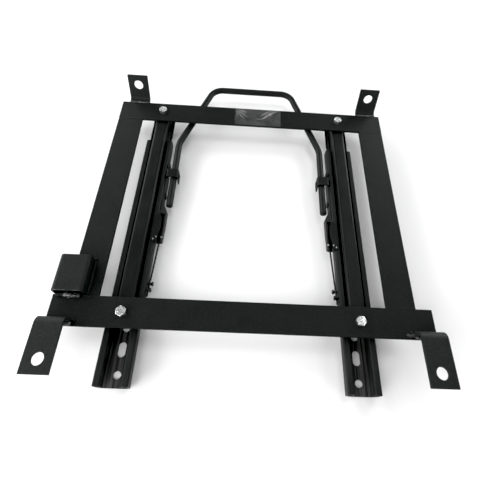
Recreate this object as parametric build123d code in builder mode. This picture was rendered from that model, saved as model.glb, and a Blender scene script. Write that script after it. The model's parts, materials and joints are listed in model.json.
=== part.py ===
from build123d import *
import os
from math import sin, cos, tan, radians, degrees, atan2

# Sliding seat bracket: a welded flat-bar frame bolted to two seat slides, with
# a towel-bar release handle.  It is modelled as it lies, upside down compared
# with its use in a car: the slides' seat faces are on z = 0 and the floor tabs
# stand up.  Millimetres.  X runs across the car, Y along the slides (+Y is the
# vehicle's front), Z is up.  The origin is the centre of the seat bolt
# pattern, on the seat face of the two slides.

os.makedirs("parts", exist_ok=True)

# ---------------------------------------------------------------- dimensions
RAIL_X = 152.5          # slide centre line, each side
# outer slide channel (goes with the seat)
CH_HALF = 21.4          # half width
CH_H = 23.5             # height over the lips
CH_T = 2.0              # sheet thickness
CH_LIP = 12.3           # half of the gap between the lips
CH_HOOK_Z = 15.2        # lower edge of the turned-down lips
CH_R = 12.0             # outer radius of the bottom corners
CH_LEN = 386.0
HOLE_R = 5.0            # seat bolt holes
HOLE_Y = 177.6          # outermost round holes, from the middle
SLOT_Y = 146.7          # slots
SLOT_L = 19.0
HOLE2_Y = 119.5         # inner round holes
# inner slide rail (goes with the frame)
IN_Y0, IN_Y1 = -121.0, 265.0
IN_HALF = 18.0          # over the upturned legs
IN_LEG_Z = 16.6         # top edge of the upturned legs
IN_FLANGE_Z = 10.6      # underside of the flanges
IN_WEB = 8.3            # half of the hat's inside width
IN_WEB_Z = 29.0         # underside of the hat's top
IN_T = 2.0
# notches for the latch fingers
NOTCH_PITCH = 10.0
NOTCH_Y0 = 5.0
NOTCH_N = 21
NOTCH_W = 6.6
NOTCH_TOP = 13.9        # top edge of the notched leg
NOTCH_Z = 11.2          # bottom of the notches
# frame of flat bar
BAR_T = 4.0
BAR_Z = 31.0            # underside of the bars
BAR_W = 40.0
NEAR_BAR = (-243.0, 250.0)      # ends of the rear crossbar
FAR_BAR = (-225.0, 229.0)       # ends of the front crossbar
NEAR_Y = -107.0         # rear crossbar centre and its bolts
FAR_Y = 249.0           # front crossbar centre
FAR_BOLT_Y = 250.3
LEFT_BAR_X = -205.0     # side bar centres
RIGHT_BAR_X = 209.0
BOLT_HOLE_R = 4.25
HEX_AF = 12.0           # M8 heads and nuts of the small series, across flats
# floor tabs
TAB_W = 33.6
TAB_T = 4.0
TAB_HOLE_R = 7.5
NL_X, NR_X = -228.4, 236.3
FL_X, FR_X = -196.7, 205.0
NT_Z = 55.0             # top face of the rear tabs
NT_Y = -119.0           # far face of their upright legs
NT_END = -186.5
NT_HOLE_Y = -169.7
NT_R = 11.0             # outer bend radius
FT_ANGLE = 71.0         # front tabs' slope
FT_HOLE = (284.7, 57.7) # hole centre on the face that looks back and up
FT_TOP_Z = 73.0
# buckle plate
BP_X0, BP_X1 = -241.3, -201.0
BP_Y0, BP_Y1 = -87.0, -37.5
BP_Z = 51.5
BP_T = 3.0
BP_R, BP_R2 = 6.5, 4.2    # outer bend radii
BP_LOW = 2.5            # lower edge of the outer leg
BP_HOLE = (-62.0, 19.0) # belt buckle bolt hole
# release bar
ROD_R = 5.25
ROD_X = 119.5
ROD_Y0 = 65.0           # free ends
ROD_BEND_Y = 191.0
GRIP_X = 70.0
GRIP_Y = 324.5
ROD_Z0 = 17.5           # axis height at the free ends
ROD_Z1 = 24.5           # axis height at the grip
# latch lever
PIV_Y, PIV_Z = 85.0, 15.3
PIN_R = 4.0
LEV_X0 = 130.8          # lever face next to the slide
LEV_T = 2.5
LEV2_X0 = 123.5         # the same face past the joggle
FING_Y = (25.0, 35.0, 45.0)
FING_W = 6.0
FING_Z0, FING_Z1 = 14.2, 16.2
# spring wire and posts
WIRE_R = 1.2
WIRE_Z = 16.0
POST_R = 2.0
POST1 = (-60.0, 12.75)
POST2 = (-71.0, 19.25)
# balls
BALL_UP_R = 2.4
BALL_LO_R = 3.0


def xz(y):
    """Plane whose local axes are X and Z, at height y; it extrudes to -Y."""
    return Plane(origin=(0, y, 0), x_dir=(1, 0, 0), z_dir=(0, -1, 0))


def yz(x):
    """Plane whose local axes are Y and Z; it extrudes to +X."""
    return Plane(origin=(x, 0, 0), x_dir=(0, 1, 0), z_dir=(1, 0, 0))


# ------------------------------------------------------------ frame of flat bar
with BuildPart() as near_crossbar:
    with BuildSketch(Plane.XY.offset(BAR_Z)):
        with Locations(((NEAR_BAR[0] + NEAR_BAR[1]) / 2, NEAR_Y)):
            Rectangle(NEAR_BAR[1] - NEAR_BAR[0], BAR_W)
        with Locations((-RAIL_X, NEAR_Y), (RAIL_X, NEAR_Y)):
            Circle(BOLT_HOLE_R, mode=Mode.SUBTRACT)
    extrude(amount=BAR_T)
    chamfer(near_crossbar.edges().filter_by(Axis.X), 0.5)
near_crossbar.part.label = "near_crossbar"

with BuildPart() as far_crossbar:
    with BuildSketch(Plane.XY.offset(BAR_Z)):
        with Locations(((FAR_BAR[0] + FAR_BAR[1]) / 2, FAR_Y)):
            Rectangle(FAR_BAR[1] - FAR_BAR[0], BAR_W)
        with Locations((-RAIL_X, FAR_BOLT_Y), (RAIL_X, FAR_BOLT_Y)):
            Circle(BOLT_HOLE_R, mode=Mode.SUBTRACT)
    extrude(amount=BAR_T)
    chamfer(far_crossbar.edges().filter_by(Axis.X), 0.5)
far_crossbar.part.label = "far_crossbar"

side_y0 = NEAR_Y + BAR_W / 2
side_y1 = FAR_Y - BAR_W / 2

with BuildPart() as left_side_bar:
    with BuildSketch(Plane.XY.offset(BAR_Z)):
        with Locations((LEFT_BAR_X, (side_y0 + side_y1) / 2)):
            Rectangle(BAR_W, side_y1 - side_y0)
    extrude(amount=BAR_T)
    chamfer(left_side_bar.edges().filter_by(Axis.Y), 0.5)
left_side_bar.part.label = "left_side_bar"

with BuildPart() as right_side_bar:
    with BuildSketch(Plane.XY.offset(BAR_Z)):
        with Locations((RIGHT_BAR_X, (side_y0 + side_y1) / 2)):
            Rectangle(BAR_W, side_y1 - side_y0)
    extrude(amount=BAR_T)
    chamfer(right_side_bar.edges().filter_by(Axis.Y), 0.5)
right_side_bar.part.label = "right_side_bar"

# ------------------------------------------------------------------ rear tabs
# Each is a strip: an upright leg on the rear crossbar, one bend, a flat foot.
tab_top = BAR_Z + BAR_T

with BuildPart() as near_left_tab:
    with BuildSketch(yz(NL_X - TAB_W / 2)):
        with BuildLine():
            FilletPolyline((NT_Y, tab_top), (NT_Y, NT_Z), (NT_END, NT_Z), radius=NT_R)
            offset(amount=TAB_T, side=Side.LEFT)
        make_face()
    extrude(amount=TAB_W)
    with BuildSketch(Plane.XY.offset(NT_Z - TAB_T - 1)):
        with Locations((NL_X, NT_HOLE_Y)):
            Circle(TAB_HOLE_R)
    extrude(amount=TAB_T + 2, mode=Mode.SUBTRACT)
near_left_tab.part.label = "near_left_tab"

with BuildPart() as near_right_tab:
    with BuildSketch(yz(NR_X - TAB_W / 2)):
        with BuildLine():
            FilletPolyline((NT_Y, tab_top), (NT_Y, NT_Z), (NT_END, NT_Z), radius=NT_R)
            offset(amount=TAB_T, side=Side.LEFT)
        make_face()
    extrude(amount=TAB_W)
    with BuildSketch(Plane.XY.offset(NT_Z - TAB_T - 1)):
        with Locations((NR_X, NT_HOLE_Y)):
            Circle(TAB_HOLE_R)
    extrude(amount=TAB_T + 2, mode=Mode.SUBTRACT)
near_right_tab.part.label = "near_right_tab"

# ----------------------------------------------------------------- front tabs
# Each is a strip butted to the crossbar's front edge and bent up steeply.
ft = radians(FT_ANGLE)
ft_foot_y = FT_HOLE[0] - (FT_HOLE[1] - tab_top) / tan(ft)      # face line meets the bar's top plane
ft_top_y = FT_HOLE[0] + (FT_TOP_Z - FT_HOLE[1]) / tan(ft)
ft_normal = (0, -sin(ft), cos(ft))
bar_edge = FAR_Y + BAR_W / 2

with BuildPart() as far_left_tab:
    with BuildSketch(yz(FL_X - TAB_W / 2)):
        with BuildLine():
            FilletPolyline((bar_edge, tab_top), (ft_foot_y, tab_top), (ft_top_y, FT_TOP_Z), radius=6.0)
            offset(amount=TAB_T, side=Side.RIGHT)
        make_face()
    extrude(amount=TAB_W)
    with BuildSketch(Plane(origin=(FL_X, FT_HOLE[0], FT_HOLE[1]), x_dir=(1, 0, 0), z_dir=ft_normal)):
        Circle(TAB_HOLE_R)
    extrude(amount=8, both=True, mode=Mode.SUBTRACT)
far_left_tab.part.label = "far_left_tab"

with BuildPart() as far_right_tab:
    with BuildSketch(yz(FR_X - TAB_W / 2)):
        with BuildLine():
            FilletPolyline((bar_edge, tab_top), (ft_foot_y, tab_top), (ft_top_y, FT_TOP_Z), radius=6.0)
            offset(amount=TAB_T, side=Side.RIGHT)
        make_face()
    extrude(amount=TAB_W)
    with BuildSketch(Plane(origin=(FR_X, FT_HOLE[0], FT_HOLE[1]), x_dir=(1, 0, 0), z_dir=ft_normal)):
        Circle(TAB_HOLE_R)
    extrude(amount=8, both=True, mode=Mode.SUBTRACT)
far_right_tab.part.label = "far_right_tab"

# --------------------------------------------------------------- buckle plate
# A folded strip that bridges out over the left side bar.
with BuildPart() as buckle_plate:
    with BuildSketch(xz(BP_Y1)):
        with BuildLine():
            FilletPolyline(
                (BP_X0, BP_LOW), (BP_X0, BP_Z), (BP_X1, BP_Z), (BP_X1, tab_top), radius=[BP_R, BP_R2]
            )
            offset(amount=BP_T, side=Side.RIGHT)
        make_face()
    extrude(amount=BP_Y1 - BP_Y0)
    # bolt hole in the outer leg, and round corners at its lower edge
    with BuildSketch(yz(BP_X0 - 1)):
        with Locations(BP_HOLE):
            Circle(5.75)
    extrude(amount=BP_T + 2, mode=Mode.SUBTRACT)
    fillet(buckle_plate.edges().filter_by(Axis.X).group_by(Axis.Z)[0], 8.0)
buckle_plate.part.label = "buckle_plate"

# ---------------------------------------------------------------- inner rails
with BuildPart() as left_inner_rail:
    with BuildSketch(Plane(origin=(-RAIL_X, IN_Y1, 0), x_dir=(1, 0, 0), z_dir=(0, -1, 0))):
        with BuildLine():
            FilletPolyline(
                (-IN_HALF, IN_LEG_Z), (-IN_HALF, IN_FLANGE_Z), (-IN_WEB, IN_FLANGE_Z),
                (-IN_WEB, IN_WEB_Z), (IN_WEB, IN_WEB_Z), (IN_WEB, IN_FLANGE_Z),
                (IN_HALF, IN_FLANGE_Z), (IN_HALF, IN_LEG_Z),
                radius=[3.0, 3.0, 1.5, 1.5, 3.0, 3.0],
            )
            offset(amount=IN_T, side=Side.LEFT)
        make_face()
    extrude(amount=IN_Y1 - IN_Y0)
    # bolt holes in the hat's top
    with BuildSketch(Plane.XY.offset(IN_WEB_Z - 1)):
        with Locations((-RAIL_X, NEAR_Y), (-RAIL_X, FAR_BOLT_Y)):
            Circle(BOLT_HOLE_R)
    extrude(amount=IN_T + 2, mode=Mode.SUBTRACT)
    # latch notches in the leg that faces the middle of the bracket
    with BuildSketch(Plane.XY.offset(NOTCH_TOP)):
        with Locations((-RAIL_X + IN_HALF - 1, (IN_Y0 + IN_Y1) / 2)):
            Rectangle(3.0, IN_Y1 - IN_Y0 + 2)
    extrude(amount=4, mode=Mode.SUBTRACT)
    with BuildSketch(Plane.XY.offset(NOTCH_Z)):
        with Locations(*[(-RAIL_X + IN_HALF - 1, NOTCH_Y0 + i * NOTCH_PITCH) for i in range(NOTCH_N)]):
            Rectangle(3.0, NOTCH_W)
    extrude(amount=4, mode=Mode.SUBTRACT)
    # small window in the outer flange near the front end
    with BuildSketch(Plane.XY.offset(IN_FLANGE_Z - 1)):
        with Locations((-RAIL_X - 14.0, 236.0)):
            RectangleRounded(3.4, 7.0, 1.2)
    extrude(amount=4, mode=Mode.SUBTRACT)
left_inner_rail.part.label = "left_inner_rail"

with BuildPart() as right_inner_rail:
    mirror(left_inner_rail.part, about=Plane.YZ)
right_inner_rail.part.label = "right_inner_rail"

# ----------------------------------------------------------------- fasteners
with BuildPart() as frame_bolts:
    with BuildSketch(Plane.XY.offset(tab_top)):
        with Locations((-RAIL_X, NEAR_Y), (RAIL_X, NEAR_Y), (-RAIL_X, FAR_BOLT_Y), (RAIL_X, FAR_BOLT_Y)):
            RegularPolygon(HEX_AF / 2, 6, major_radius=False, rotation=12)
    extrude(amount=5.3)
    chamfer(frame_bolts.faces().sort_by(Axis.Z)[-4:].edges(), 0.5)
    with BuildSketch(Plane.XY.offset(19.0)):
        with Locations((-RAIL_X, NEAR_Y), (RAIL_X, NEAR_Y), (-RAIL_X, FAR_BOLT_Y), (RAIL_X, FAR_BOLT_Y)):
            Circle(4.0)
    extrude(amount=tab_top - 19.0)
frame_bolts.part.label = "frame_bolts"

with BuildPart() as rail_nuts:
    with BuildSketch(Plane.XY.offset(IN_WEB_Z - 6.5)):
        with Locations((-RAIL_X, NEAR_Y), (RAIL_X, NEAR_Y), (-RAIL_X, FAR_BOLT_Y), (RAIL_X, FAR_BOLT_Y)):
            RegularPolygon(HEX_AF / 2, 6, major_radius=False, rotation=30)
            Circle(4.02, mode=Mode.SUBTRACT)
    extrude(amount=6.5)
rail_nuts.part.label = "rail_nuts"

# leftover of clear film across the front crossbar
with BuildPart() as film_patch:
    with BuildSketch(Plane.XY.offset(tab_top)):
        with BuildLine():
            Polyline((-28, 229.6), (52, 229.6), (51.6, 268.6), (-28.3, 268.5), (-28, 229.6))
        make_face()
    extrude(amount=0.3)
film_patch.part.label = "film_patch"

# -------------------------------------------------------------- outer channels
with BuildPart() as left_outer_channel:
    with BuildSketch(Plane(origin=(-RAIL_X, CH_LEN / 2, 0), x_dir=(1, 0, 0), z_dir=(0, -1, 0))):
        with BuildLine():
            FilletPolyline(
                (-CH_LIP, CH_HOOK_Z), (-CH_LIP, CH_H), (-CH_HALF, CH_H), (-CH_HALF, 0),
                (CH_HALF, 0), (CH_HALF, CH_H), (CH_LIP, CH_H), (CH_LIP, CH_HOOK_Z),
                radius=[2.6, 3.0, CH_R, CH_R, 3.0, 2.6],
            )
            offset(amount=CH_T, side=Side.LEFT)
        make_face()
    extrude(amount=CH_LEN)
    # seat bolt holes and slots in the web
    with BuildSketch(Plane.XY.offset(-1)):
        with Locations((-RAIL_X, -HOLE_Y), (-RAIL_X, HOLE_Y), (-RAIL_X, -HOLE2_Y), (-RAIL_X, HOLE2_Y)):
            Circle(HOLE_R)
        with Locations((-RAIL_X, -SLOT_Y), (-RAIL_X, SLOT_Y)):
            SlotOverall(SLOT_L, 2 * HOLE_R, rotation=90)
    extrude(amount=5, mode=Mode.SUBTRACT)
    # window for the latch fingers in the inner wall
    with BuildSketch(yz(-RAIL_X + CH_HALF - CH_T - 1)):
        with Locations((35.0, 17.3)):
            RectangleRounded(29.0, 8.2, 1.0)
    extrude(amount=CH_T + 2, mode=Mode.SUBTRACT)
    # pivot pin and spring post holes
    with BuildSketch(yz(-RAIL_X + CH_HALF - CH_T - 1)):
        with Locations((PIV_Y, PIV_Z)):
            Circle(3.0)
        with Locations(POST1, POST2):
            Circle(POST_R)
    extrude(amount=CH_T + 2, mode=Mode.SUBTRACT)
left_outer_channel.part.label = "left_outer_channel"

with BuildPart() as right_outer_channel:
    mirror(left_outer_channel.part, about=Plane.YZ)
right_outer_channel.part.label = "right_outer_channel"

# shouldered rivet that the latch lever turns on
wall_in = -RAIL_X + CH_HALF - CH_T
wall_out = -RAIL_X + CH_HALF
with BuildPart() as left_pivot_pin:
    with BuildSketch(yz(wall_in)):
        with Locations((PIV_Y, PIV_Z)):
            Circle(3.0)
    extrude(amount=CH_T)
    with BuildSketch(yz(wall_out)):
        with Locations((PIV_Y, PIV_Z)):
            Circle(PIN_R)
    extrude(amount=-LEV_X0 + LEV_T + 0.15 - wall_out)
    with BuildSketch(yz(-LEV_X0 + LEV_T + 0.15)):
        with Locations((PIV_Y, PIV_Z)):
            Circle(5.2)
    extrude(amount=1.6)
    fillet(left_pivot_pin.edges().filter_by(GeomType.CIRCLE).sort_by(Axis.X)[-1], 0.7)
left_pivot_pin.part.label = "left_pivot_pin"

with BuildPart() as right_pivot_pin:
    mirror(left_pivot_pin.part, about=Plane.YZ)
right_pivot_pin.part.label = "right_pivot_pin"

# two headed posts that hold the spring wire
with BuildPart() as left_spring_posts:
    with BuildSketch(yz(wall_in)):
        with Locations(POST1, POST2):
            Circle(POST_R)
    extrude(amount=CH_T + 4.6)
    with BuildSketch(yz(wall_out + 4.6)):
        with Locations(POST1, POST2):
            Circle(3.2)
    extrude(amount=2.0)
    fillet(left_spring_posts.edges().filter_by(GeomType.CIRCLE).sort_by(Axis.X)[-2:], 0.8)
left_spring_posts.part.label = "left_spring_posts"

with BuildPart() as right_spring_posts:
    mirror(left_spring_posts.part, about=Plane.YZ)
right_spring_posts.part.label = "right_spring_posts"

# straight spring wire: over the first post, under the second, and onto the
# lever's rear end
wire_a = (-129.6, -79.0, WIRE_Z)
wire_b = (-125.2, 12.0, WIRE_Z)
with BuildPart() as left_spring_wire:
    with BuildLine() as wire_path:
        Line(wire_a, wire_b)
    with BuildSketch(Plane(origin=wire_a, z_dir=(wire_b[0] - wire_a[0], wire_b[1] - wire_a[1], 0))):
        Circle(WIRE_R)
    sweep(path=wire_path.wire())
left_spring_wire.part.label = "left_spring_wire"

with BuildPart() as right_spring_wire:
    mirror(left_spring_wire.part, about=Plane.YZ)
right_spring_wire.part.label = "right_spring_wire"

# bulged cover on the channel's lip, over the latch window, with a narrow tail
with BuildPart() as left_latch_guard:
    with BuildSketch(Plane.XY.offset(CH_H)):
        with BuildLine():
            Polyline((-134.0, 47.5), (-137.0, 41.0), (-137.0, 3.0), (-135.0, 1.0), (-128.6, 1.0), (-127.4, 3.0),
                     (-127.4, 13.0))
            Spline((-127.4, 13.0), (-125.6, 19.0), (-125.4, 36.0), (-127.2, 44.0), (-130.5, 48.0))
            Line((-130.5, 48.0), (-134.0, 47.5))
        make_face()
    extrude(amount=1.5)
left_latch_guard.part.label = "left_latch_guard"

with BuildPart() as right_latch_guard:
    mirror(left_latch_guard.part, about=Plane.YZ)
right_latch_guard.part.label = "right_latch_guard"

# ------------------------------------------------------------------ slide balls
upper_u, upper_z = 16.85, CH_H - CH_T - 0.05 - BALL_UP_R
arc_reach = CH_R - CH_T - BALL_LO_R - 0.05
lower_u = CH_HALF - CH_R + arc_reach * cos(radians(40))
lower_z = CH_R - arc_reach * sin(radians(40))
upper_y = (-97.0, -67.0, -37.0, -7.0, 137.0, 155.0, 173.0)
lower_y = (-97.0, -62.0, -27.0, 8.0, 43.0, 78.0, 113.0, 148.0, 173.0)
# (the notched leg carries no upper balls: only the outer leg does)
with BuildPart() as left_balls:
    with Locations(*[(-RAIL_X - upper_u, y, upper_z) for y in upper_y]):
        Sphere(BALL_UP_R)
    with Locations(*[(-RAIL_X + s * lower_u, y, lower_z) for s in (-1, 1) for y in lower_y]):
        Sphere(BALL_LO_R)
left_balls.part.label = "left_balls"

with BuildPart() as right_balls:
    mirror(left_balls.part, about=Plane.YZ)
right_balls.part.label = "right_balls"

# ------------------------------------------------------------------ release bar
# One bent round bar in a plane that rises slightly towards the grip.
slope = (ROD_Z1 - ROD_Z0) / (GRIP_Y - ROD_Y0)
rise = atan2(ROD_Z1 - ROD_Z0, GRIP_Y - ROD_Y0)


def on_rod(y):
    return ROD_Z0 + (y - ROD_Y0) * slope


with BuildPart() as towel_bar:
    with BuildLine() as bar_path:
        FilletPolyline(
            (-ROD_X, ROD_Y0, on_rod(ROD_Y0)), (-ROD_X, ROD_BEND_Y, on_rod(ROD_BEND_Y)),
            (-GRIP_X, GRIP_Y, on_rod(GRIP_Y)), (GRIP_X, GRIP_Y, on_rod(GRIP_Y)),
            (ROD_X, ROD_BEND_Y, on_rod(ROD_BEND_Y)), (ROD_X, ROD_Y0, on_rod(ROD_Y0)),
            radius=[45.0, 24.0, 24.0, 45.0],
        )
    with BuildSketch(Plane(origin=(-ROD_X, ROD_Y0, ROD_Z0), z_dir=(0, cos(rise), sin(rise)))):
        Circle(ROD_R)
    sweep(path=bar_path.wire())
    fillet(towel_bar.faces().filter_by(GeomType.PLANE).edges(), 1.6)
towel_bar.part.label = "towel_bar"

# folded saddle that clamps the bar to the lever
clamp_y0, clamp_y1 = 116.0, 131.5
rod_mid = on_rod((clamp_y0 + clamp_y1) / 2)
saddle_top = rod_mid + ROD_R + 0.6
LEV_TOP = 22.0
with BuildPart() as left_clamp:
    with BuildSketch(xz(clamp_y1)):
        with BuildLine():
            FilletPolyline(
                (-LEV_X0 + 0.1, LEV_TOP), (-LEV_X0 + 0.1, saddle_top + 2.2),
                (-ROD_X + ROD_R + 2.3, saddle_top + 2.2), (-ROD_X + ROD_R + 2.3, rod_mid - 5.0),
                radius=[2.6, 3.5],
            )
            offset(amount=2.0, side=Side.RIGHT)
        make_face()
    extrude(amount=clamp_y1 - clamp_y0)
    # small ear on the free leg
    with BuildSketch(Plane.XY.offset(rod_mid - 4.5)):
        with Locations((-ROD_X + ROD_R + 2.3 + 0.6, 118.0)):
            Rectangle(2.0, 16.0)
    extrude(amount=7.0)
left_clamp.part.label = "left_clamp"

with BuildPart() as right_clamp:
    mirror(left_clamp.part, about=Plane.YZ)
right_clamp.part.label = "right_clamp"

# latch lever: an upright plate with a joggle and three fingers
with BuildPart() as left_latch_lever:
    with BuildSketch(Plane.XY.offset(10.0)):
        with BuildLine():
            Polyline(
                (-LEV_X0, 146.0), (-LEV_X0, 68.5), (-LEV2_X0, 54.0), (-LEV2_X0, 3.0),
                (-LEV2_X0 + LEV_T, 3.0), (-LEV2_X0 + LEV_T, 55.0), (-LEV_X0 + LEV_T, 69.5),
                (-LEV_X0 + LEV_T, 146.0), (-LEV_X0, 146.0),
            )
        make_face()
    extrude(amount=LEV_TOP - 10.0)
    # the plate's rear end is lower and tapers from below
    with BuildSketch(yz(-LEV_X0 - 1)):
        with BuildLine():
            Polyline((-1, 8), (34, 8), (22, 11.5), (5, 13.0), (-1, 13.0), (-1, 8))
        make_face()
        with BuildLine():
            Polyline((-1, 21.0), (50, 21.0), (57, 23), (-1, 23), (-1, 21.0))
        make_face()
    extrude(amount=12.0, mode=Mode.SUBTRACT)
    # curled lug at the front end
    with BuildSketch(yz(-LEV_X0)):
        with Locations((140.5, 21.0)):
            Circle(4.2)
    extrude(amount=LEV_T + 0.8)
    # fingers that drop into the rail's notches
    with BuildSketch(Plane.XY.offset(FING_Z0)):
        with Locations(*[((-LEV2_X0 - RAIL_X + IN_HALF - 2.6) / 2, y) for y in FING_Y]):
            Rectangle(RAIL_X - IN_HALF + 2.6 - LEV2_X0, FING_W)
    extrude(amount=FING_Z1 - FING_Z0)
    # web that joins the fingers outside the slide
    with BuildSketch(Plane.XY.offset(FING_Z0)):
        with Locations((-LEV2_X0 - 3.4, 37.5)):
            Rectangle(6.8, 31.0)
    extrude(amount=FING_Z1 - FING_Z0)
    # its lower tail, which carries the wire's tip
    with BuildSketch(Plane.XY.offset(11.9)):
        with Locations((-LEV2_X0 - 3.4, 13.0)):
            Rectangle(6.8, 20.0)
    extrude(amount=2.0)
    with BuildSketch(yz(-LEV2_X0 - 6.8)):
        Polygon((20.0, 11.9), (23.0, 11.9), (26.0, 14.2), (26.0, 16.2), (22.5, 16.2), (20.0, 13.9), align=None)
    extrude(amount=6.8)
    # shoulder that stiffens the joggle
    with BuildSketch(Plane.XY.offset(LEV_TOP - 2.0)):
        with BuildLine():
            Polyline((-LEV2_X0 + 1.0, 49.5), (-130.3, 49.5), (-130.3, 72.0), (-LEV_X0 + LEV_T, 72.0),
                     (-LEV_X0 + LEV_T, 69.5), (-LEV2_X0 + 1.0, 55.0), (-LEV2_X0 + 1.0, 49.5))
        make_face()
    extrude(amount=2.0)
    # pivot bore
    with BuildSketch(yz(-LEV_X0 - 1)):
        with Locations((PIV_Y, PIV_Z)):
            Circle(PIN_R + 0.05)
    extrude(amount=LEV_T + 2, mode=Mode.SUBTRACT)
left_latch_lever.part.label = "left_latch_lever"

with BuildPart() as right_latch_lever:
    mirror(left_latch_lever.part, about=Plane.YZ)
right_latch_lever.part.label = "right_latch_lever"

# bright rivets at the rear end of the lever and of the cover
with BuildPart() as left_lever_rivet:
    with BuildSketch(Plane.XY.offset(21.0)):
        with Locations((-LEV2_X0 + LEV_T / 2, 9.5)):
            Circle(1.6)
    extrude(amount=1.4)
    fillet(left_lever_rivet.edges().filter_by(GeomType.CIRCLE).sort_by(Axis.Z)[-1], 0.8)
left_lever_rivet.part.label = "left_lever_rivet"

with BuildPart() as right_lever_rivet:
    mirror(left_lever_rivet.part, about=Plane.YZ)
right_lever_rivet.part.label = "right_lever_rivet"

with BuildPart() as left_guard_rivet:
    with BuildSketch(Plane.XY.offset(CH_H + 1.5)):
        with Locations((-129.4, 8.0), (-133.2, 4.6)):
            Circle(1.25)
    extrude(amount=1.0)
    fillet(left_guard_rivet.edges().filter_by(GeomType.CIRCLE).group_by(Axis.Z)[-1], 0.6)
left_guard_rivet.part.label = "left_guard_rivet"

with BuildPart() as right_guard_rivet:
    mirror(left_guard_rivet.part, about=Plane.YZ)
right_guard_rivet.part.label = "right_guard_rivet"

# ----------------------------------------------------------------------- export
for piece in (
    near_crossbar, far_crossbar, left_side_bar, right_side_bar,
    near_left_tab, near_right_tab, far_left_tab, far_right_tab, buckle_plate,
    left_inner_rail, right_inner_rail, frame_bolts, rail_nuts, film_patch,
    left_outer_channel, right_outer_channel, left_pivot_pin, right_pivot_pin,
    left_spring_posts, right_spring_posts, left_spring_wire, right_spring_wire,
    left_latch_guard, right_latch_guard, left_guard_rivet, right_guard_rivet,
    left_balls, right_balls, towel_bar, left_clamp, right_clamp,
    left_latch_lever, right_latch_lever, left_lever_rivet, right_lever_rivet,
):
    export_step(piece.part, "parts/" + piece.part.label + ".step")
    print(piece.part.label, round(piece.part.volume, 1), len(piece.part.solids()))
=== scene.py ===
import bpy
import bmesh
import json
import math
import random
import numpy as np
from mathutils import Matrix, Vector

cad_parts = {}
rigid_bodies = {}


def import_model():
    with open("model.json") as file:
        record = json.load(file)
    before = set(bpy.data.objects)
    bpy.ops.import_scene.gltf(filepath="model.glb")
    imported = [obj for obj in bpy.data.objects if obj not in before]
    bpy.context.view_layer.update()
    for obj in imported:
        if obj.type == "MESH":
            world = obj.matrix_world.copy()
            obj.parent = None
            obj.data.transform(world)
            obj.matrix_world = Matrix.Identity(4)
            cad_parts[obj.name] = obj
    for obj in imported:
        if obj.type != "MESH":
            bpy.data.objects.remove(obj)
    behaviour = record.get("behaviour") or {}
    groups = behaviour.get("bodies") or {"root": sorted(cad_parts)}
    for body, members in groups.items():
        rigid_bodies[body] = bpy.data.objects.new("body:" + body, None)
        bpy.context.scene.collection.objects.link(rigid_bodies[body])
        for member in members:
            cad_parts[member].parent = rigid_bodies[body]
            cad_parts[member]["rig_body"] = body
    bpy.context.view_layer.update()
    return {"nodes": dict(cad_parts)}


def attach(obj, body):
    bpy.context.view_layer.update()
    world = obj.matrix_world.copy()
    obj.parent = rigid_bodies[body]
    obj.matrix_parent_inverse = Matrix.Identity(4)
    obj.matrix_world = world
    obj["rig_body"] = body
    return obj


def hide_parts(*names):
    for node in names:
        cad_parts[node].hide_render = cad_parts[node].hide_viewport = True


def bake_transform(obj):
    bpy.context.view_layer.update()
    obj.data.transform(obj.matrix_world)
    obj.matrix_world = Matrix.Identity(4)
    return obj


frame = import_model()
MM = 0.001


# ------------------------------------------------------------------ materials
def new_mat(name):
    m = bpy.data.materials.new(name)
    m.use_nodes = True
    nt = m.node_tree
    for n in list(nt.nodes):
        nt.nodes.remove(n)
    out = nt.nodes.new("ShaderNodeOutputMaterial")
    p = nt.nodes.new("ShaderNodeBsdfPrincipled")
    nt.links.new(p.outputs[0], out.inputs[0])
    co = nt.nodes.new("ShaderNodeTexCoord")
    return m, nt, p, co.outputs["Object"]


def noise(nt, vec, scale, detail=3.0, rough=0.55, distort=0.0):
    n = nt.nodes.new("ShaderNodeTexNoise")
    n.inputs["Scale"].default_value = scale
    n.inputs["Detail"].default_value = detail
    n.inputs["Roughness"].default_value = rough
    n.inputs["Distortion"].default_value = distort
    nt.links.new(vec, n.inputs["Vector"])
    return n.outputs["Fac"]


def ramp(nt, fac, stops, interp="LINEAR"):
    r = nt.nodes.new("ShaderNodeValToRGB")
    r.color_ramp.interpolation = interp
    el = r.color_ramp.elements
    while len(el) > 1:
        el.remove(el[-1])
    el[0].position, c = stops[0]
    el[0].color = (*c, 1) if len(c) == 3 else c
    for pos, c in stops[1:]:
        e = el.new(pos)
        e.color = (*c, 1) if len(c) == 3 else c
    nt.links.new(fac, r.inputs[0])
    return r.outputs[0]


def remap(nt, fac, a, b, lo, hi):
    r = nt.nodes.new("ShaderNodeMapRange")
    r.inputs["From Min"].default_value = a
    r.inputs["From Max"].default_value = b
    r.inputs["To Min"].default_value = lo
    r.inputs["To Max"].default_value = hi
    nt.links.new(fac, r.inputs["Value"])
    return r.outputs[0]


def mixc(nt, fac, a, b, mode="MIX"):
    m = nt.nodes.new("ShaderNodeMix")
    m.data_type = "RGBA"
    m.blend_type = mode
    for sock, val in ((m.inputs[0], fac), (m.inputs[6], a), (m.inputs[7], b)):
        if isinstance(val, bpy.types.NodeSocket):
            nt.links.new(val, sock)
        elif isinstance(val, (int, float)):
            sock.default_value = val
        else:
            sock.default_value = (*val, 1)
    return m.outputs[2]


def bump(nt, heights, strength=0.4, distance=0.0003):
    """Chain of bumps, each (height socket, strength, distance)."""
    last = None
    for h, s, d in heights:
        b = nt.nodes.new("ShaderNodeBump")
        b.inputs["Strength"].default_value = s
        b.inputs["Distance"].default_value = d
        nt.links.new(h, b.inputs["Height"])
        if last is not None:
            nt.links.new(last, b.inputs["Normal"])
        last = b.outputs[0]
    return last


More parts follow.
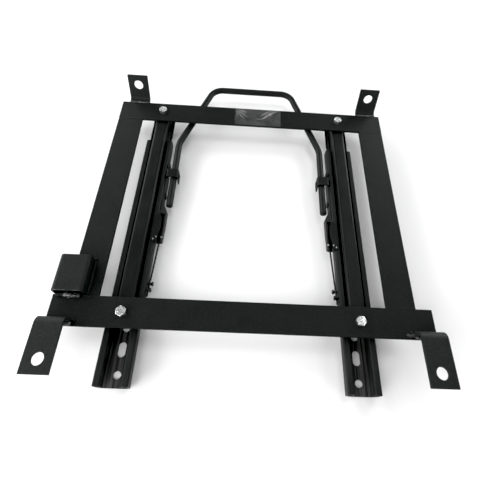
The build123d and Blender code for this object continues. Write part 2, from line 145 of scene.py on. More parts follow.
def powder_coat(name, dark, light, rough=(0.42, 0.62), grain=520.0, dust=0.0, spec=0.16, edge_highlight_y=None):
    """Matte powder coat: fine orange peel, cloudy tone, a few pale specks, and optionally a painted highlight strip
    along the top of a near edge.
    """
    m, nt, p, vec = new_mat(name)
    cloud = noise(nt, vec, 38.0, 4.0, 0.6)
    fine = noise(nt, vec, grain, 3.0, 0.6)
    peel = noise(nt, vec, grain * 1.7, 2.0, 0.5)
    tone = ramp(nt, cloud, [(0.25, dark), (0.75, light)])
    speck = ramp(nt, noise(nt, vec, 900.0, 1.0, 0.5), [(0.0, (0, 0, 0)), (0.69, (0, 0, 0)), (0.76, (1, 1, 1))])
    grey = tuple(min(1.0, c * 2.0 + 0.006) for c in light)
    mid = mixc(nt, remap(nt, fine, 0.35, 0.7, 0.0, 0.55), tone, tuple(c * 1.5 for c in light))
    p_col = mixc(nt, speck, mid, grey)
    if dust:
        d = ramp(nt, noise(nt, vec, 9.0, 5.0, 0.65), [(0.45, (0, 0, 0)), (0.8, (dust, dust, dust))])
        p_col = mixc(nt, d, p_col, (0.25, 0.25, 0.24))
    # painted highlight: a pale grey strip, broken into patches, on the top face along its near edge
    if edge_highlight_y is not None:
        sep = nt.nodes.new("ShaderNodeSeparateXYZ")
        nt.links.new(vec, sep.inputs[0])
        past = remap(nt, sep.outputs[1], edge_highlight_y + 0.0007, edge_highlight_y, 0.0, 1.0)
        high = remap(nt, sep.outputs[2], 0.0490, 0.0508, 0.0, 1.0)
        patch = remap(nt, noise(nt, vec, 240.0, 3.0, 0.6), 0.40, 0.6, 0.1, 1.0)
        both = nt.nodes.new("ShaderNodeMath")
        both.operation = "MULTIPLY"
        nt.links.new(past, both.inputs[0])
        nt.links.new(high, both.inputs[1])
        painted_edge_highlight = nt.nodes.new("ShaderNodeMath")
        painted_edge_highlight.operation = "MULTIPLY"
        nt.links.new(both.outputs[0], painted_edge_highlight.inputs[0])
        nt.links.new(patch, painted_edge_highlight.inputs[1])
        p_col = mixc(nt, painted_edge_highlight.outputs[0], p_col, (0.085, 0.087, 0.085))
    nt.links.new(p_col, p.inputs["Base Color"])
    nt.links.new(remap(nt, fine, 0.3, 0.7, rough[0], rough[1]), p.inputs["Roughness"])
    nt.links.new(bump(nt, [(peel, 0.35, 0.00022), (fine, 0.3, 0.0004)]), p.inputs["Normal"])
    p.inputs["Specular IOR Level"].default_value = spec
    return m


def satin_black(name, dark, light, rough=(0.28, 0.42), spec=0.3, painted_fill=0.0, painted_fill_z=(0.0060, 0.0024)):
    """Smooth black dip coat on pressed steel: faint draw lines, soft gloss, and optionally painted light on its lowest
    surfaces.
    """
    m, nt, p, vec = new_mat(name)
    mp = nt.nodes.new("ShaderNodeMapping")
    mp.inputs["Scale"].default_value = (1.0, 0.06, 1.0)
    nt.links.new(vec, mp.inputs["Vector"])
    draw = noise(nt, mp.outputs[0], 420.0, 3.0, 0.55)
    cloud = noise(nt, vec, 30.0, 4.0, 0.6)
    fine = noise(nt, vec, 800.0, 2.0, 0.5)
    base = ramp(nt, cloud, [(0.3, dark), (0.7, light)])
    base = mixc(nt, remap(nt, draw, 0.4, 0.75, 0.0, 0.4), base, tuple(c * 1.7 for c in light))
    # painted light: surfaces below the given height are mixed to a paler, streaked grey that stands in for fill light
    # reaching into the shaded hollows
    if painted_fill:
        sep = nt.nodes.new("ShaderNodeSeparateXYZ")
        nt.links.new(vec, sep.inputs[0])
        low = remap(nt, sep.outputs[2], painted_fill_z[0], painted_fill_z[1], 0.0, 1.0)
        mp2 = nt.nodes.new("ShaderNodeMapping")
        mp2.inputs["Scale"].default_value = (1.0, 0.02, 1.0)
        nt.links.new(vec, mp2.inputs["Vector"])
        lines = noise(nt, mp2.outputs[0], 260.0, 2.0, 0.7)
        pale = ramp(nt, lines, [(0.35, (painted_fill * 0.35,) * 3), (0.5, (painted_fill,) * 3), (0.62, (painted_fill * 2.6,) * 3)])
        base = mixc(nt, low, base, pale)
    nt.links.new(base, p.inputs["Base Color"])
    nt.links.new(remap(nt, cloud, 0.3, 0.7, rough[0], rough[1]), p.inputs["Roughness"])
    nt.links.new(bump(nt, [(draw, 0.15, 0.00015), (fine, 0.12, 0.00008)]), p.inputs["Normal"])
    p.inputs["Specular IOR Level"].default_value = spec
    return m


def metal(name, dark, light, rough=(0.22, 0.4), scale=260.0, metallic=1.0):
    """Plated or drawn bare metal with cloudy tone and fine pitting."""
    m, nt, p, vec = new_mat(name)
    cloud = noise(nt, vec, scale, 4.0, 0.6)
    fine = noise(nt, vec, scale * 6, 2.0, 0.5)
    nt.links.new(ramp(nt, cloud, [(0.3, dark), (0.7, light)]), p.inputs["Base Color"])
    nt.links.new(remap(nt, fine, 0.3, 0.7, rough[0], rough[1]), p.inputs["Roughness"])
    nt.links.new(bump(nt, [(fine, 0.2, 0.00006)]), p.inputs["Normal"])
    p.inputs["Metallic"].default_value = metallic
    return m


def zinc_mat(name):
    """Bright zinc plate with small crystal facets and dull patches."""
    m, nt, p, vec = new_mat(name)
    cell = nt.nodes.new("ShaderNodeTexVoronoi")
    cell.inputs["Scale"].default_value = 620.0
    nt.links.new(vec, cell.inputs["Vector"])
    dull = noise(nt, vec, 900.0, 3.0, 0.6)
    fine = noise(nt, vec, 2600.0, 2.0, 0.5)
    bw = nt.nodes.new("ShaderNodeRGBToBW")
    nt.links.new(cell.outputs["Color"], bw.inputs[0])
    facet = ramp(nt, bw.outputs[0], [(0.15, (0.42, 0.43, 0.43)), (0.8, (0.80, 0.82, 0.82))])
    nt.links.new(mixc(nt, remap(nt, dull, 0.45, 0.6, 0.0, 0.8), facet, (0.30, 0.31, 0.31)), p.inputs["Base Color"])
    nt.links.new(remap(nt, dull, 0.35, 0.65, 0.28, 0.5), p.inputs["Roughness"])
    nt.links.new(bump(nt, [(bw.outputs[0], 0.25, 0.0001), (fine, 0.2, 0.00006)]), p.inputs["Normal"])
    p.inputs["Metallic"].default_value = 1.0
    return m


def weld_mat(name, low=0.012, mid=0.035, high=0.16, scale=240.0, edges=(0.3, 0.52, 0.72)):
    """Coated weld: darker coat with grey spatter and thin spots."""
    m, nt, p, vec = new_mat(name)
    cloud = noise(nt, vec, scale, 4.0, 0.65)
    fine = noise(nt, vec, 1500.0, 3.0, 0.6)
    nt.links.new(ramp(nt, cloud, [(edges[0], (low,) * 3), (edges[1], (mid,) * 3), (edges[2], (high,) * 3)]),
                 p.inputs["Base Color"])
    nt.links.new(remap(nt, fine, 0.3, 0.7, 0.3, 0.55), p.inputs["Roughness"])
    nt.links.new(bump(nt, [(fine, 0.4, 0.00015), (cloud, 0.4, 0.0004)]), p.inputs["Normal"])
    return m


def film_mat(name, tone=(0.2, 0.3), alpha=(0.045, 0.145), rough=(0.25, 0.45)):
    """Thin clear film: mostly see-through, with a dull uneven haze."""
    m, nt, p, vec = new_mat(name)
    haze = noise(nt, vec, 60.0, 4.0, 0.65, 0.6)
    fine = noise(nt, vec, 420.0, 3.0, 0.6)
    nt.links.new(ramp(nt, haze, [(0.3, (tone[0],) * 3), (0.7, (tone[1],) * 3)]), p.inputs["Base Color"])
    nt.links.new(remap(nt, haze, 0.3, 0.7, rough[0], rough[1]), p.inputs["Roughness"])
    nt.links.new(remap(nt, haze, 0.25, 0.75, alpha[0], alpha[1]), p.inputs["Alpha"])
    nt.links.new(bump(nt, [(haze, 0.4, 0.0012), (fine, 0.2, 0.0002)]), p.inputs["Normal"])
    return m


M_FRAME = powder_coat("frame_coat_mat", (0.0084, 0.0093, 0.0090), (0.0118, 0.0130, 0.0125), spec=0.09)
M_TAB = powder_coat("tab_coat_mat", (0.0115, 0.0130, 0.0125), (0.0165, 0.0185, 0.0178), rough=(0.42, 0.6), spec=0.12)
# the plate coat carries a painted highlight along the top of its near edge
M_PLATE = powder_coat("plate_coat_mat", (0.0095, 0.0107, 0.0102), (0.0138, 0.0155, 0.0148), rough=(0.42, 0.6), spec=0.12, edge_highlight_y=-0.0868)
# inner rails: painted light on the hat walls and flanges below the web top
M_RAIL = satin_black("rail_coat_mat", (0.0060, 0.0066, 0.0064), (0.0086, 0.0093, 0.0091), rough=(0.34, 0.48), spec=0.12,
                     painted_fill=0.018, painted_fill_z=(0.0301, 0.0288))
M_GUARD = satin_black("guard_coat_mat", (0.0062, 0.0068, 0.0066), (0.0090, 0.0097, 0.0095), rough=(0.34, 0.48), spec=0.12)
# channels: painted light on the inner floor
M_CHAN = satin_black("channel_coat_mat", (0.0118, 0.0126, 0.0123), (0.0160, 0.0170, 0.0166), rough=(0.36, 0.5), spec=0.12, painted_fill=0.034)
M_BAR = satin_black("bar_coat_mat", (0.0085, 0.009, 0.009), (0.0125, 0.013, 0.013), rough=(0.34, 0.5), spec=0.13)
M_LEVER = powder_coat("lever_coat_mat", (0.0050, 0.0055, 0.0055), (0.0085, 0.009, 0.009), rough=(0.35, 0.5), grain=900.0, spec=0.12)
# the lever coat again in a lighter tone: painted light on the lever plates, which sit in shade beside the channels
M_LEVER_PAINTED_LIGHT = powder_coat("lever_plate_painted_light_mat", (0.0120, 0.0125, 0.0125), (0.0190, 0.0198, 0.0198), rough=(0.35, 0.5), grain=900.0, spec=0.12)
M_DARK = metal("dark_steel_mat", (0.012, 0.012, 0.012), (0.04, 0.04, 0.04), rough=(0.3, 0.5))
M_WIRE = metal("spring_wire_mat", (0.018, 0.018, 0.018), (0.05, 0.05, 0.05), rough=(0.2, 0.35), scale=500.0)
M_ZINC = zinc_mat("bright_zinc_mat")
M_RIVET = metal("rivet_mat", (0.14, 0.145, 0.145), (0.34, 0.35, 0.35), rough=(0.22, 0.36), scale=900.0)
M_BALL = metal("ball_mat", (0.55, 0.55, 0.54), (0.75, 0.75, 0.74), rough=(0.06, 0.16))
M_WELD = weld_mat("weld_mat")
M_WELD_BARE = weld_mat("weld_bare_mat", 0.008, 0.04, 0.26, 420.0, (0.42, 0.52, 0.64))
# a pale grey weld tone: painted sheen on the smooth left tab-end weld
M_WELD_PAINTED_SHEEN = weld_mat("weld_painted_sheen_mat", 0.06, 0.09, 0.14, 150.0)
# a darker weld tone: painted shade on the matching right tab-end weld
M_WELD_PAINTED_SHADE = weld_mat("weld_painted_shade_mat", 0.012, 0.02, 0.05, 260.0)
M_FILM = film_mat("film_mat")
# pale, more opaque film: painted glare on the crease ridges
M_CREASE_GLARE = film_mat("film_crease_mat", (0.5, 0.62), (0.30, 0.55), (0.2, 0.35))


# --------------------------------------------------------------- mesh helpers
def finish_mesh(bm, name, mat, sharp=38.0):
    me = bpy.data.meshes.new(name)
    bmesh.ops.recalc_face_normals(bm, faces=bm.faces)
    big = [f for f in bm.faces if len(f.verts) > 4]
    if big:
        bmesh.ops.triangulate(bm, faces=big)
    for f in bm.faces:
        f.smooth = True
    for e in bm.edges:
        e.smooth = not (len(e.link_faces) == 2 and e.calc_face_angle(0.0) > math.radians(sharp))
    bm.to_mesh(me)
    bm.free()
    a = me.attributes.get("custom_normal")
    if a is not None:
        me.attributes.remove(a)
    me.materials.clear()
    me.materials.append(mat)
    ob = bpy.data.objects.new(name, me)
    bpy.context.scene.collection.objects.link(ob)
    return ob


def weighted(ob):
    w = ob.modifiers.new("normals", "WEIGHTED_NORMAL")
    w.keep_sharp = True
    w.weight = 60
    return ob


def dress(node, mat, bevel=0.45, segments=2, angle=30.0, name=None, bend=None):
    """A finer copy of a CAD node: same faces, with its edges rounded over."""
    src = frame["nodes"][node]
    bm = bmesh.new()
    bm.from_mesh(src.data)
    bmesh.ops.remove_doubles(bm, verts=bm.verts, dist=2e-6)
    bmesh.ops.dissolve_limit(bm, angle_limit=math.radians(0.8), verts=bm.verts, edges=bm.edges)
    if bevel:
        edges = [e for e in bm.edges if len(e.link_faces) == 2 and e.calc_face_angle(0.0) > math.radians(angle)]
        bmesh.ops.bevel(bm, geom=edges, offset=bevel * MM, offset_type="OFFSET", segments=segments,
                        profile=0.5, affect="EDGES", clamp_overlap=True)
    if bend:
        # rings cut across the straight run at even steps
        y0, y1 = bend[2][1], bend[3][1]
        for k in range(17):
            bmesh.ops.bisect_plane(bm, geom=list(bm.verts) + list(bm.edges) + list(bm.faces),
                                   plane_co=(0, y0 + (y1 - y0) * k / 16, 0), plane_no=(0, 1, 0))
    ob = finish_mesh(bm, name or node + "_coated", mat)
    weighted(ob)
    if bend:
        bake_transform(ob)
    else:
        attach(ob, src["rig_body"])
    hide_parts(node)
    return ob


def add_piece(bm, name, mat, body, replaces=(), sharp=38.0):
    ob = finish_mesh(bm, name, mat, sharp)
    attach(ob, body)
    if replaces:
        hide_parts(*replaces)
    return ob


def rounded_path(points, radii, step=2.0):
    """Polyline with each inner corner turned into an arc (mm)."""
    pts = [Vector(p) for p in points]
    out = [pts[0]]
    for i in range(1, len(pts) - 1):
        a, b, c = pts[i - 1], pts[i], pts[i + 1]
        u, v = (a - b).normalized(), (c - b).normalized()
        ang = u.angle(v)
        r = radii[i - 1]
        t = r / math.tan(ang / 2)
        centre = b + (u + v).normalized() * (r / math.sin(ang / 2))
        s, e = b + u * t, b + v * t
        n = max(3, int(r * (math.pi - ang) / step))
        w0, w1 = s - centre, e - centre
        turn = w0.angle(w1)
        axis = w0.cross(w1).normalized()
        for k in range(n + 1):
            out.append(centre + Matrix.Rotation(turn * k / n, 3, axis) @ w0)
    out.append(pts[-1])
    return out


def resample(path, step):
    d = [0.0]
    for a, b in zip(path, path[1:]):
        d.append(d[-1] + (b - a).length)
    n = max(2, int(round(d[-1] / step)))
    res = []
    j = 0
    for k in range(n + 1):
        s = d[-1] * k / n
        while j < len(d) - 2 and d[j + 1] < s:
            j += 1
        seg = d[j + 1] - d[j]
        f = 0 if seg < 1e-9 else (s - d[j]) / seg
        res.append(path[j].lerp(path[j + 1], f))
    return res


def sweep(bm, path, ring, scale=None, up=Vector((0, 0, 1))):
    """Sweeps a closed ring of (side, up) points in mm along a path, with caps."""
    rows = []
    n = len(path)
    for i, p in enumerate(path):
        t = (path[min(i + 1, n - 1)] - path[max(i - 1, 0)]).normalized()
        side = t.cross(up)
        if side.length < 1e-6:
            side = t.cross(Vector((1, 0, 0)))
        side.normalize()
        nrm = side.cross(t).normalized()
        k = scale(i, n) if scale else 1.0
        if not isinstance(k, (list, tuple, np.ndarray)):
            k = [k] * len(ring)
        rows.append([bm.verts.new((p + side * a * k[j] + nrm * b * k[j]) * MM) for j, (a, b) in enumerate(ring)])
    m = len(ring)
    for r0, r1 in zip(rows, rows[1:]):
        for j in range(m):
            bm.faces.new((r0[j], r0[(j + 1) % m], r1[(j + 1) % m], r1[j]))
    bm.faces.new(rows[0])
    bm.faces.new(list(reversed(rows[-1])))
    return rows


def circle_ring(r, n=20, ry=None):
    return [(r * math.cos(2 * math.pi * k / n), (ry or r) * math.sin(2 * math.pi * k / n)) for k in range(n)]


def weld(name, points, r, body, seed, ry=None, ripple=2.3, spatter=3, mat=None):
    """A lumpy hand-laid bead along a path, with overlapping ripples and tapered ends (mm)."""
    rng = random.Random(seed)
    bm = bmesh.new()
    path = resample([Vector(p) for p in points], 0.55)
    n_ring = 14
    n = len(path)
    wob = [rng.uniform(-1, 1) for _ in range(64)]

    def f(x):
        i = int(x) % 64
        t = x - int(x)
        t = t * t * (3 - 2 * t)
        return wob[i] * (1 - t) + wob[(i + 1) % 64] * t

    moved = [p + Vector((f(i * 0.11 + 7), f(i * 0.13 + 23), f(i * 0.1 + 41) * 0.5)) * r * 0.13 for i, p in enumerate(path)]

    def scale(i, total):
        s = i * 0.55
        end = min(1.0, (min(i, total - 1 - i) * 0.55 + 0.25) / (r * 0.9))
        end = math.sqrt(max(0.04, 1 - (1 - end) ** 2))
        saw = (s / ripple + 0.25 * f(s * 0.3)) % 1.0
        rip = 1.0 - 0.13 * saw ** 2 + 0.05
        return [end * rip * (1 + 0.14 * f(s * 0.23 + k * 0.9) + 0.05 * f(s * 1.1 + k * 2.3 + 11)) for k in range(n_ring)]

    sweep(bm, moved, circle_ring(r, n_ring, ry), scale)
    for _ in range(spatter):
        p = moved[rng.randrange(n)] + Vector((rng.uniform(-1.6, 1.6) * r, rng.uniform(-1.6, 1.6) * r, 0))
        rr = rng.uniform(0.25, 0.55)
        bmesh.ops.create_icosphere(bm, subdivisions=2, radius=rr * MM, matrix=Matrix.Translation(p * MM))
    return add_piece(bm, name, mat or M_WELD, body, sharp=60.0)


# ------------------------------------------------------------------ the frame
for n in ("near_crossbar", "far_crossbar", "left_side_bar", "right_side_bar"):
    dress(n, M_FRAME, bevel=0.35, angle=35)
for n in ("near_left_tab", "near_right_tab", "far_left_tab", "far_right_tab"):
    dress(n, M_TAB, bevel=0.7, segments=3, angle=40)
dress("buckle_plate", M_PLATE, bevel=0.6, segments=3, angle=40)
for n in ("left_inner_rail", "right_inner_rail"):
    dress(n, M_RAIL, bevel=0.35, angle=40)
for n in ("left_outer_channel", "right_outer_channel"):
    dress(n, M_CHAN, bevel=0.35, angle=40)
for s in ("left", "right"):
    dress(s + "_latch_guard", M_GUARD, bevel=0.4)
    # the lever plates take the lighter lever coat, which is painted light
    dress(s + "_latch_lever", M_LEVER_PAINTED_LIGHT, bevel=0.3, angle=35)
    dress(s + "_clamp", M_LEVER, bevel=0.4, angle=40)
    dress(s + "_pivot_pin", M_DARK, bevel=0.0)
    dress(s + "_spring_posts", M_DARK, bevel=0.0)
    dress(s + "_balls", M_BALL, bevel=0.0)
    dress(s + "_lever_rivet", M_RIVET, bevel=0.0)
    dress(s + "_guard_rivet", M_RIVET, bevel=0.0)
    # on the real part the wire's free end goes up and down with the lever; here it is cut into rings along its straight
    # run and baked in place
    dress(s + "_spring_wire", M_WIRE, bevel=0.0,
          bend=("left_slide", "release_bar", (0, -0.055, 0.016), (0, 0.011, 0.016)))

# towel bar, a smooth tube with rounded ends
ROD_R = 5.25


def on_rod(y):
    return 17.5 + (y - 65.0) * (7.0 / 259.5)


bar = rounded_path(
    [(-119.5, 65, on_rod(65)), (-119.5, 191, on_rod(191)), (-70, 324.5, on_rod(324.5)), (70, 324.5, on_rod(324.5)),
     (119.5, 191, on_rod(191)), (119.5, 65, on_rod(65))],
    [45, 24, 24, 45], 1.6)
first, last = bar[0], bar[-1]
head = [first + (bar[1] - first).normalized() * d for d in (0.0, 0.35, 0.9, 1.6, 2.6)]
tail = [last + (bar[-2] - last).normalized() * d for d in (2.6, 1.6, 0.9, 0.35, 0.0)]
mid = resample([head[-1]] + bar[1:-1] + [tail[0]], 2.5)
full = head[:-1] + mid + tail[1:]
shrink = [0.66, 0.84, 0.94, 0.985, 1.0]
bm = bmesh.new()
sweep(bm, full, circle_ring(ROD_R, 36),
      lambda i, n: shrink[i] if i < 5 else (shrink[n - 1 - i] if n - 1 - i < 5 else 1.0))
add_piece(bm, "towel_bar_tube", M_BAR, "release_bar", ["towel_bar"], sharp=50.0)

# ------------------------------------------------------------------ fasteners
HEADS = [(-152.5, -107.0, 4), (152.5, -107.0, 22), (-152.5, 250.3, 15), (152.5, 250.3, 8)]


def hex_solid(bm, cx, cy, z0, z1, af, turn, top=True, bottom=False, dimple=False, sub=10):
    """Hexagon with cone-turned faces, as a real head or nut has (mm)."""
    n = 6 * sub
    cone = af / 2 - 0.35
    rows = []

    def ring(fr, fz):
        row = []
        for k in range(n):
            th = 2 * math.pi * k / n
            w = (th + math.pi / 6) % (math.pi / 3) - math.pi / 6
            rr = (af / 2) / math.cos(w)
            r, z = fr(rr), fz(rr)
            a = th + math.radians(turn)
            row.append(bm.verts.new(Vector((cx + r * math.cos(a), cy + r * math.sin(a), z)) * MM))
        return row

    slope = math.tan(math.radians(28))
    if bottom:
        rows.append(ring(lambda rr: cone, lambda rr: z0))
        rows.append(ring(lambda rr: rr, lambda rr: z0 + (rr - cone) * slope))
    else:
        rows.append(ring(lambda rr: rr, lambda rr: z0))
    if top:
        rows.append(ring(lambda rr: rr, lambda rr: z1 - (rr - cone) * slope))
        rows.append(ring(lambda rr: cone, lambda rr: z1))
        rows.append(ring(lambda rr: cone * 0.93, lambda rr: z1 - 0.05))
        if dimple:
            for q, dz in ((0.62, 0.08), (0.52, 0.62), (0.32, 0.66), (0.24, 0.15), (0.10, 0.12)):
                rows.append(ring(lambda rr, q=q: cone * q, lambda rr, dz=dz: z1 - dz))
    else:
        rows.append(ring(lambda rr: rr, lambda rr: z1))
    for a, b in zip(rows, rows[1:]):
        for k in range(n):
            bm.faces.new((a[k], a[(k + 1) % n], b[(k + 1) % n], b[k]))
    bm.faces.new(list(reversed(rows[0])))
    bm.faces.new(rows[-1])


def threaded(bm, cx, cy, z0, z1, r=4.0, pitch=1.25, n=40):
    """Shank with a true helical thread and a coned tip at the low end (mm)."""
    steps = int((z1 - z0) / (pitch / 8))
    rows = []
    for i in range(steps + 1):
        z = z0 + (z1 - z0) * i / steps
        row = []
        for k in range(n):
            th = 2 * math.pi * k / n
            ph = ((z / pitch) - th / (2 * math.pi)) % 1.0
            dip = 0.66 * (1 - abs(2 * ph - 1)) ** 1.1
            rr = r - dip
            rr = min(rr, r - 1.1 + (z - z0) * 1.1)
            row.append(bm.verts.new(Vector((cx + rr * math.cos(th), cy + rr * math.sin(th), z)) * MM))
        rows.append(row)
    for a, b in zip(rows, rows[1:]):
        for k in range(n):
            bm.faces.new((a[k], a[(k + 1) % n], b[(k + 1) % n], b[k]))
    bm.faces.new(list(reversed(rows[0])))
    bm.faces.new(rows[-1])


for i, (x, y, turn) in enumerate(HEADS):
    bm = bmesh.new()
    hex_solid(bm, x, y, 35.0, 40.3, 12.0, turn, dimple=True)
    ob = add_piece(bm, "bolt_head_%d" % i, M_ZINC, "frame", sharp=24.0)
    if i == 0:
        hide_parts("frame_bolts")
    bm = bmesh.new()
    threaded(bm, x, y, 19.0, 34.9)
    add_piece(bm, "bolt_thread_%d" % i, M_ZINC, "frame", sharp=70.0)
    bm = bmesh.new()
    hex_solid(bm, x, y, 22.5, 29.0, 12.0, 30 + 13 * i, top=True, bottom=True)
    ob = add_piece(bm, "rail_nut_%d" % i, M_ZINC, "frame", sharp=24.0)
    if i == 0:
        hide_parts("rail_nuts")

# --------------------------------------------------------------------- welds
weld("weld_near_left_tab", [(-244.0, -124.4, 35.2), (-213.5, -124.2, 35.2)], 2.4, "frame", 11)
# this weld's pale tone is painted sheen
weld("weld_near_left_tab_end", [(-220.0, -125.4, 35.8), (-216.6, -124.6, 36.4), (-211.0, -125.0, 34.8)], 2.7, "frame", 12, spatter=0, ripple=5.0, mat=M_WELD_PAINTED_SHEEN)
weld("weld_near_left_tab_side", [(-211.0, -119.0, 35.0), (-206.0, -121.5, 35.0)], 2.0, "frame", 24, spatter=2, mat=M_FRAME)
weld("weld_near_left_tab_back", [(-243.0, -118.6, 35.2), (-214.5, -118.5, 35.2)], 1.9, "frame", 21, spatter=1)
weld("weld_near_right_tab", [(221.0, -124.4, 35.2), (251.0, -124.4, 35.2)], 2.4, "frame", 13)
# this weld's dark tone is painted shade
weld("weld_near_right_tab_end", [(223.5, -122.6, 35.6), (218.5, -121.8, 36.0), (214.5, -122.8, 35.0), (210.8, -120.6, 34.9)], 2.1, "frame", 14, spatter=1, mat=M_WELD_PAINTED_SHADE)
weld("weld_near_right_tab_side", [(219.0, -119.2, 35.0), (214.5, -119.6, 35.4)], 2.4, "frame", 25, spatter=1, mat=M_FRAME)
weld("weld_near_right_tab_back", [(222.0, -118.6, 35.2), (250.0, -118.5, 35.2)], 1.9, "frame", 22, spatter=1)
weld("weld_far_left_tab", [(-212.0, 269.2, 34.6), (-181.0, 269.2, 34.6)], 1.9, "frame", 15)
weld("weld_far_right_tab", [(189.5, 269.2, 34.6), (220.5, 269.2, 34.6)], 1.9, "frame", 16)
weld("weld_plate_near", [(-229.5, -88.0, 36.2), (-219.0, -88.4, 36.8), (-208.0, -88.0, 36.0)], 2.9, "frame", 17, spatter=14, ripple=1.9, mat=M_WELD_BARE)
weld("weld_plate_corner", [(-199.5, -88.4, 35.2), (-192.5, -88.0, 35.0)], 1.5, "frame", 18, spatter=2, mat=M_FRAME)
weld("weld_plate_foot", [(-200.0, -86.0, 35.3), (-200.2, -38.5, 35.3)], 2.5, "frame", 19, mat=M_FRAME, ripple=3.4, spatter=4)
weld("weld_plate_leg", [(-239.0, -87.8, 35.8), (-225.5, -87.6, 36.2)], 3.3, "frame", 26, mat=M_FRAME)
weld("weld_plate_far", [(-202.4, -36.6, 35.0), (-198.0, -36.3, 35.0)], 1.5, "frame", 20, spatter=1, mat=M_FRAME)
for k, (x, y) in enumerate(((-205.0, -87.0), (209.0, -87.0), (-205.0, 229.0), (209.0, 229.0))):
    weld("weld_seam_top_%d" % k, [(x - 19.6, y, 34.7), (x + 19.6, y, 34.7)], 1.6, "frame", 30 + k, ry=0.5, spatter=0, mat=M_FRAME)
    weld("weld_seam_under_%d" % k, [(x - 19.0, y, 31.1), (x + 19.0, y, 31.1)], 2.4, "frame", 40 + k, ry=1.5, spatter=2)

# ---------------------------------------------------------------- film patch
rng = random.Random(5)
bm = bmesh.new()
nx, ny = 60, 34
grid = []
for j in range(ny + 1):
    row = []
    for i in range(nx + 1):
        u, v = i / nx, j / ny
        x = -28 + 80 * u + 0.15 * math.sin(v * 9.0 + 1.0)
        y = 229.5 + 39.0 * v
        fold = 0.25 * math.sin(u * 7.0 + 2.2 * v) ** 2 + 0.2 * math.sin(u * 4.0 - 3.1 * v + 0.6) ** 2
        z = 35.08 + fold * math.sin(math.pi * min(1, max(0, v))) * 0.8 + 0.03 * rng.random()
        row.append(bm.verts.new(Vector((x, y, z)) * MM))
    grid.append(row)
low = [[bm.verts.new(v.co - Vector((0, 0, 0.03 * MM))) for v in row] for row in grid]
for j in range(ny):
    for i in range(nx):
        bm.faces.new((grid[j][i], grid[j][i + 1], grid[j + 1][i + 1], grid[j + 1][i]))
        bm.faces.new((low[j][i], low[j + 1][i], low[j + 1][i + 1], low[j][i + 1]))
edge = ([(0, i) for i in range(nx)] + [(j, nx) for j in range(ny)] + [(ny, i) for i in range(nx, 0, -1)]
        + [(j, 0) for j in range(ny, 0, -1)])
for (j0, i0), (j1, i1) in zip(edge, edge[1:] + edge[:1]):
    bm.faces.new((grid[j0][i0], low[j0][i0], low[j1][i1], grid[j1][i1]))
add_piece(bm, "film_sheet", M_FILM, "frame", ["film_patch"], sharp=75.0)

# pinched creases in the film: thin ridges, each a path on the sheet and a width (mm); the ridges are real, their pale,
# more opaque material is a painted glare highlight
CREASES = [
    ([(-27.0, 262.8), (-20.4, 254.2), (-13.0, 245.0)], 0.9),
    ([(-25.7, 265.0), (-17.0, 257.0), (-5.4, 248.1)], 1.1),
    ([(-22.5, 266.5), (-14.5, 260.0), (-8.0, 255.5)], 0.7),
    ([(-19.4, 266.0), (-12.8, 262.3), (-7.2, 258.8)], 0.9),
    ([(17.5, 243.5), (29.8, 254.6), (43.1, 267.5)], 1.5),
    ([(19.4, 245.6), (27.7, 250.9)], 1.6),
    ([(16.6, 252.0), (26.2, 260.7), (36.5, 267.5)], 1.2),
    ([(22.0, 252.0), (32.0, 260.5), (40.5, 267.5)], 0.9),
    ([(29.1, 251.1), (38.7, 260.5), (48.0, 267.5)], 1.3),
    ([(6.2, 245.2), (17.5, 244.0)], 0.7),
    ([(-26.5, 257.0), (-24.5, 252.0), (-21.0, 246.0)], 0.5),
]
for k, (pts, wide) in enumerate(CREASES):
    line = resample([Vector((x, y, 35.5)) for x, y in pts], 0.8)
    bm = bmesh.new()
    n = len(line)
    wob = [rng.uniform(0.6, 1.15) for _ in range(n + 1)]
    sweep(bm, line, [(-0.5, 0.0), (0.0, 0.42), (0.5, 0.0), (0.0, -0.1)],
          lambda i, total, w=wide, q=wob: w * q[i] * max(0.12, math.sin(math.pi * (i + 0.5) / (total + 0.5)) ** 0.6))
    add_piece(bm, "film_crease_%d" % k, M_CREASE_GLARE, "frame", sharp=30.0)

# -------------------------------------------------------- floor, light, camera
bm = bmesh.new()
bmesh.ops.create_grid(bm, x_segments=2, y_segments=2, size=6.0)
me = bpy.data.meshes.new("floor")
bm.to_mesh(me)
bm.free()
floor = bpy.data.objects.new("floor", me)
floor.location = (0, 0, -0.0002)
bpy.context.scene.collection.objects.link(floor)
fm, fnt, fp, fvec = new_mat("floor_mat")
fnt.links.new(ramp(fnt, noise(fnt, fvec, 3.0, 2.0), [(0.3, (0.86, 0.86, 0.865)), (0.7, (0.89, 0.89, 0.895))]), fp.inputs["Base Color"])
fp.inputs["Roughness"].default_value = 0.75
me.materials.append(fm)

world = bpy.data.worlds.new("world")
bpy.context.scene.world = world
world.use_nodes = True
bg = world.node_tree.nodes.get("Background") or world.node_tree.nodes.new("ShaderNodeBackground")
bg.inputs[0].default_value = (0.95, 0.97, 1.0, 1)
bg.inputs[1].default_value = 0.03


def area(name, loc, target, size, power, col=(1, 1, 1), size_y=None):
    d = bpy.data.lights.new(name, "AREA")
    d.energy = power
    d.color = col
    if size_y:
        d.shape = "RECTANGLE"
        d.size, d.size_y = size, size_y
    else:
        d.size = size
    o = bpy.data.objects.new(name, d)
    o.location = loc
    o.rotation_euler = (Vector(target) - Vector(loc)).to_track_quat("-Z", "Y").to_euler()
    bpy.context.scene.collection.objects.link(o)
    return o


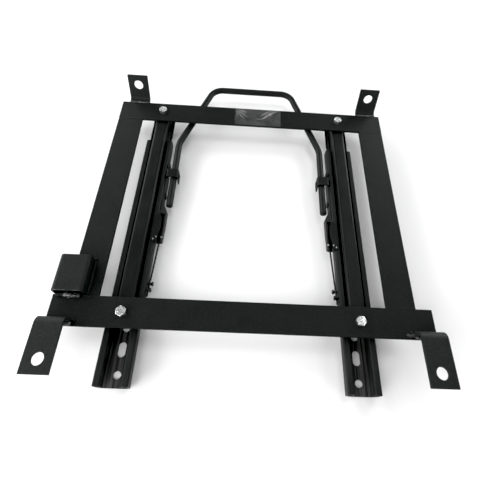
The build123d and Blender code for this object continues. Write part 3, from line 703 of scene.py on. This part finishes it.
def ring_light(name, az, el, size, power, col=(1, 1, 1), dist=1.8):
    """A soft panel that faces the object from azimuth az and elevation el in degrees."""
    a, e = math.radians(az), math.radians(el)
    loc = (dist * math.cos(a) * math.cos(e), 0.05 + dist * math.sin(a) * math.cos(e), dist * math.sin(e))
    return area(name, loc, (0, 0.05, 0), size, power, col)


ring_light("far_left", 135, 22, 1.0, 19.5, (0.99, 0.995, 1.0))
ring_light("far_right", 45, 22, 1.0, 22.5, (0.99, 0.995, 1.0))
ring_light("near_left", 225, 22, 1.0, 21.5, (1.0, 0.995, 0.985))
ring_light("left", 180, 22, 1.0, 18.0, (1.0, 1.0, 0.99))
ring_light("near_right", 315, 22, 1.0, 7.8, (1.0, 0.995, 0.985))
ring_light("high_back", 55, 70, 0.8, 7.5)
ring_light("right", 0, 30, 1.0, 2.0)
ring_light("near", 270, 38, 1.0, 2.4)
area("key", (-0.4, -0.6, 1.0), (-0.16, -0.24, 0), 0.45, 3.8, (1.0, 0.995, 0.985))
area("high_left", (-0.7, 0.5, 1.0), (-0.28, 0.2, 0), 0.45, 1.0)

cam_data = bpy.data.cameras.new("camera")
cam = bpy.data.objects.new("camera", cam_data)
bpy.context.scene.collection.objects.link(cam)
cam_data.sensor_fit = "HORIZONTAL"
cam_data.sensor_width = 36.0
cam_data.lens = 27.0
cam_data.shift_x = -0.02975
cam_data.shift_y = -0.0100
cam_data.clip_start = 0.01
cam_data.dof.use_dof = False
cx, cy, cz = (0.99817, 0.02644, 0.05438), (-0.04943, 0.87472, 0.4821), (-0.03482, -0.48391, 0.87442)
cam.matrix_world = Matrix((
    (cx[0], cy[0], cz[0], -0.0060),
    (cx[1], cy[1], cz[1], -0.2376),
    (cx[2], cy[2], cz[2], 0.4874),
    (0, 0, 0, 1)))
bpy.context.scene.camera = cam
view = bpy.context.scene.view_settings
view.view_transform = "Standard"
# the photograph's black point
view.use_curve_mapping = True
view.curve_mapping.black_level = (0.0105, 0.0101, 0.0103)
view.curve_mapping.update()

bpy.context.view_layer.update()
